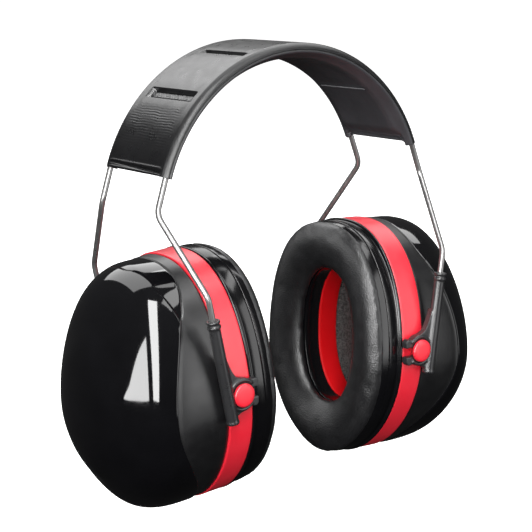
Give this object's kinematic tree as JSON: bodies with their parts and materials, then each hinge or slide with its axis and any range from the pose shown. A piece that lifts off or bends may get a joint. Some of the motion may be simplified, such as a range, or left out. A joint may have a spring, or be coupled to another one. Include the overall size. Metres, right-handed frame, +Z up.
{
  "type": "hearing protection earmuffs",
  "caption": "Over-head hearing protection earmuffs with a padded sprung wire headband, sliding arms and double-shell cups that tilt on pivot buttons.",
  "frame": {"origin": "midpoint between the two cups at the height of their pivots, where the wearer's ear line is", "axes": "+X to the wearer's right ear, +Y forward, +Z up towards the crown of the headband"},
  "size_m": [0.2022, 0.0962, 0.1985],
  "materials": {
    "shell_plastic": "high-gloss black moulded ABS",
    "casing_plastic": "semi-gloss signal red moulded ABS",
    "arm_plastic": "satin black moulded acetal",
    "cushion_vinyl": "soft black vinyl skin, low sheen",
    "band_leatherette": "fine-grained black leatherette",
    "spring_wire": "polished stainless spring wire",
    "inner_foam": "open-cell dark grey polyether foam"
  },
  "bodies": {
    "headband": {"headband_upper_cover": "band_leatherette", "headband_lower_cover": "band_leatherette", "headband_foam": "inner_foam", "front_spring_wire": "spring_wire", "rear_spring_wire": "spring_wire"},
    "left_wire_legs": {"left_front_wire_leg": "spring_wire", "left_rear_wire_leg": "spring_wire"},
    "left_arms": {"left_front_arm": "arm_plastic", "left_rear_arm": "arm_plastic"},
    "left_cup": {"left_outer_shell": "shell_plastic", "left_damping_foam": "inner_foam", "left_casing_ring": "casing_plastic", "left_inner_casing": "casing_plastic", "left_foam_liner": "inner_foam", "left_cushion_plate": "shell_plastic", "left_cushion_skin": "cushion_vinyl", "left_cushion_filling": "inner_foam", "left_front_pivot_button": "casing_plastic", "left_rear_pivot_button": "casing_plastic"},
    "right_wire_legs": {"right_front_wire_leg": "spring_wire", "right_rear_wire_leg": "spring_wire"},
    "right_arms": {"right_front_arm": "arm_plastic", "right_rear_arm": "arm_plastic"},
    "right_cup": {"right_outer_shell": "shell_plastic", "right_damping_foam": "inner_foam", "right_casing_ring": "casing_plastic", "right_inner_casing": "casing_plastic", "right_foam_liner": "inner_foam", "right_cushion_plate": "shell_plastic", "right_cushion_skin": "cushion_vinyl", "right_cushion_filling": "inner_foam", "right_front_pivot_button": "casing_plastic", "right_rear_pivot_button": "casing_plastic"}
  },
  "joints": [
    {"name": "left_spread", "type": "hinge", "parent": "headband", "child": "left_wire_legs", "pos_m": [-0.025, 0, 0.135], "axis": [0, 1, 0], "range_deg": [0, 24], "stiffness_Nm_per_rad": 4.8, "deforming": ["headband_upper_cover", "headband_lower_cover", "headband_foam", "front_spring_wire", "rear_spring_wire"]},
    {"name": "left_height_slide", "type": "slide", "parent": "left_wire_legs", "child": "left_arms", "axis": [0.1771, 0, -0.9842], "range_m": [-0.005, 0.025]},
    {"name": "left_cup_tilt", "type": "hinge", "parent": "left_arms", "child": "left_cup", "pos_m": [-0.05, 0, 0], "axis": [0, -1, 0], "range_deg": [-12, 18]},
    {"name": "right_spread", "type": "hinge", "parent": "headband", "child": "right_wire_legs", "pos_m": [0.025, 0, 0.135], "axis": [0, -1, 0], "range_deg": [0, 24], "stiffness_Nm_per_rad": 4.8, "deforming": ["headband_upper_cover", "headband_lower_cover", "headband_foam", "front_spring_wire", "rear_spring_wire"]},
    {"name": "right_height_slide", "type": "slide", "parent": "right_wire_legs", "child": "right_arms", "axis": [-0.1771, 0, -0.9842], "range_m": [-0.005, 0.025]},
    {"name": "right_cup_tilt", "type": "hinge", "parent": "right_arms", "child": "right_cup", "pos_m": [0.05, 0, 0], "axis": [0, 1, 0], "range_deg": [-12, 18]}
  ]
}
